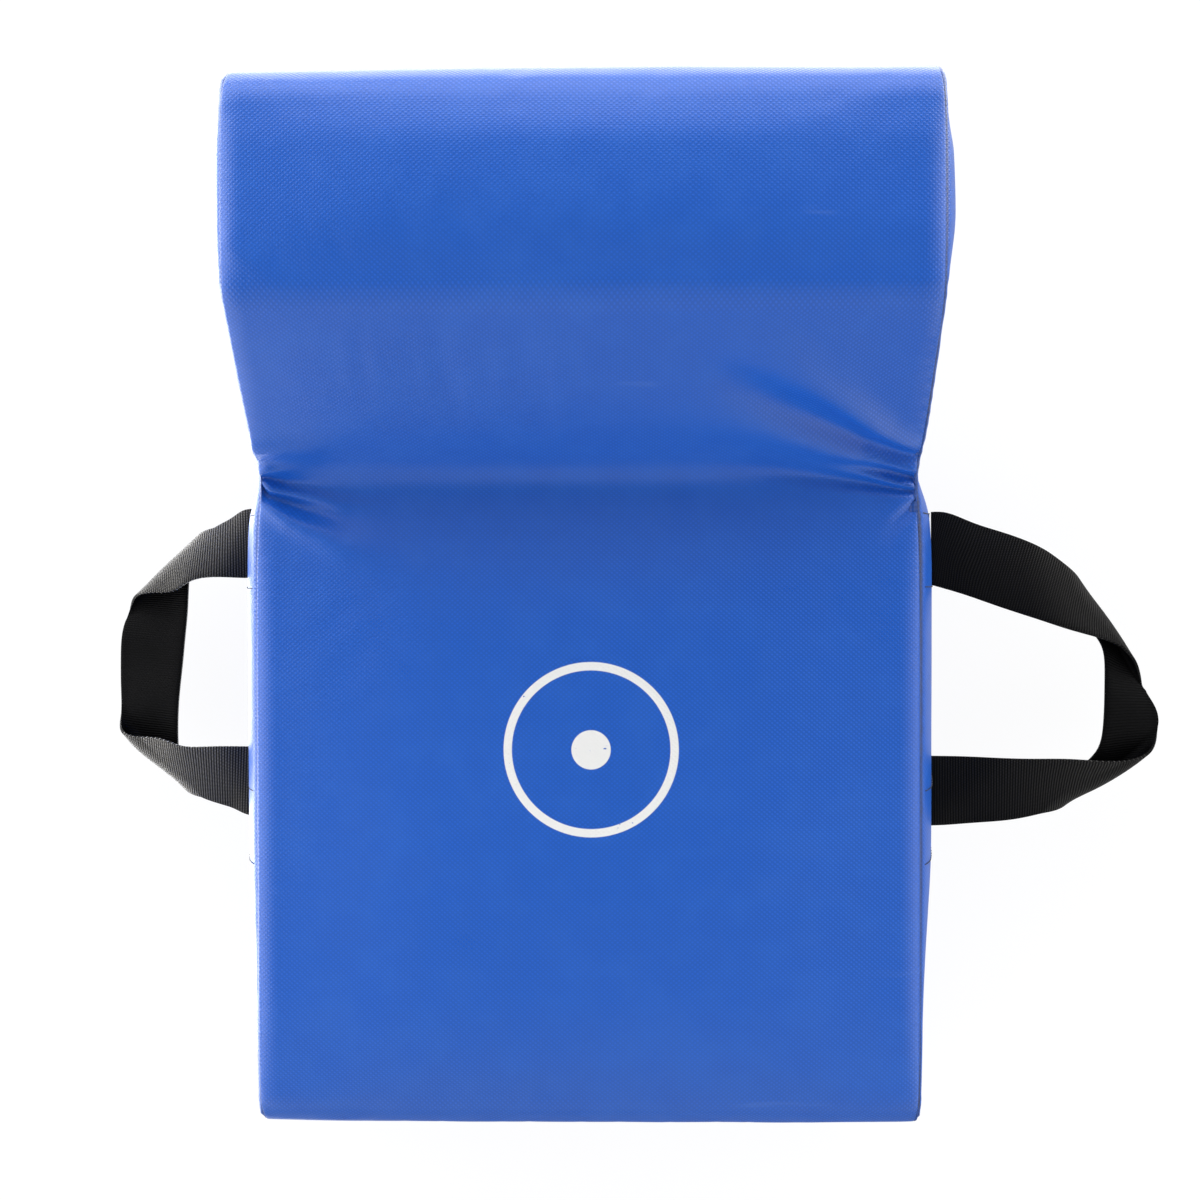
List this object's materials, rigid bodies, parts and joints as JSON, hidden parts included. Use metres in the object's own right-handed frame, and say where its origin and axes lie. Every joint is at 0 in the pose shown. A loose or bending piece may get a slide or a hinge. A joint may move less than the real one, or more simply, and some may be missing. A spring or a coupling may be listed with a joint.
{
  "type": "tackle shield",
  "caption": "Foam tackle shield in a coated-fabric cover, with a bent, raised head, a zip across its bottom end and a swinging webbing handle on each side.",
  "frame": {"origin": "middle of the flat back of the lower part, on the surface that the shield lies on", "axes": "+X to the right of someone who faces the striking face with its head up, +Y towards the head, +Z from the back to the striking face"},
  "size_m": [0.7629, 0.6989, 0.2518],
  "materials": {
    "cover_vinyl": "satin, with a fine woven emboss",
    "firm_foam": "matte",
    "soft_foam": "matte",
    "webbing": "ribbed weave",
    "thread": "matte",
    "zip_tape": "matte",
    "zip_plastic": "satin",
    "zip_nickel": "satin plated",
    "vent_nickel": "polished plated"
  },
  "bodies": {
    "pad": {"front_panel": "cover_vinyl", "back_panel": "cover_vinyl", "left_gusset": "cover_vinyl", "right_gusset": "cover_vinyl", "lower_foam_core": "firm_foam", "slope_foam_core": "firm_foam", "head_foam_core": "firm_foam", "lower_strike_foam": "soft_foam", "slope_strike_foam": "soft_foam", "head_strike_foam": "soft_foam", "left_upper_anchor": "webbing", "left_lower_anchor": "webbing", "right_upper_anchor": "webbing", "right_lower_anchor": "webbing", "left_upper_stitching_head_side": "thread", "left_upper_stitching_foot_side": "thread", "left_lower_stitching_head_side": "thread", "left_lower_stitching_foot_side": "thread", "right_upper_stitching_head_side": "thread", "right_upper_stitching_foot_side": "thread", "right_lower_stitching_head_side": "thread", "right_lower_stitching_foot_side": "thread", "zip_front_tape": "zip_tape", "zip_back_tape": "zip_tape", "zip_front_teeth": "zip_plastic", "zip_back_teeth": "zip_plastic", "zip_left_stop": "zip_nickel", "zip_right_stop": "zip_nickel", "vent_eyelet_1": "vent_nickel", "vent_eyelet_2": "vent_nickel", "vent_eyelet_3": "vent_nickel", "vent_washer_1": "vent_nickel", "vent_washer_2": "vent_nickel", "vent_washer_3": "vent_nickel"},
    "left_handle": {"left_handle_webbing": "webbing"},
    "right_handle": {"right_handle_webbing": "webbing"},
    "slider": {"zip_slider": "zip_nickel", "zip_slider_inner_plate": "zip_nickel"},
    "pull_tab": {"zip_pull_tab": "zip_nickel"}
  },
  "joints": [
    {"name": "left_handle_swing", "type": "hinge", "parent": "pad", "child": "left_handle", "pos_m": [-0.2445, 0.069, 0.06], "axis": [0, 1, 0], "range_deg": [-75, 75]},
    {"name": "right_handle_swing", "type": "hinge", "parent": "pad", "child": "right_handle", "pos_m": [0.2445, 0.063, 0.06], "axis": [0, -1, 0], "range_deg": [-80, 70]},
    {"name": "zip_slider_travel", "type": "slide", "parent": "pad", "child": "slider", "axis": [-1, 0, 0], "range_m": [0, 0.361]},
    {"name": "pull_tab_swing", "type": "hinge", "parent": "slider", "child": "pull_tab", "pos_m": [0.1807, -0.2466, 0.074], "axis": [0, 0, 1], "range_deg": [0, 180]}
  ]
}
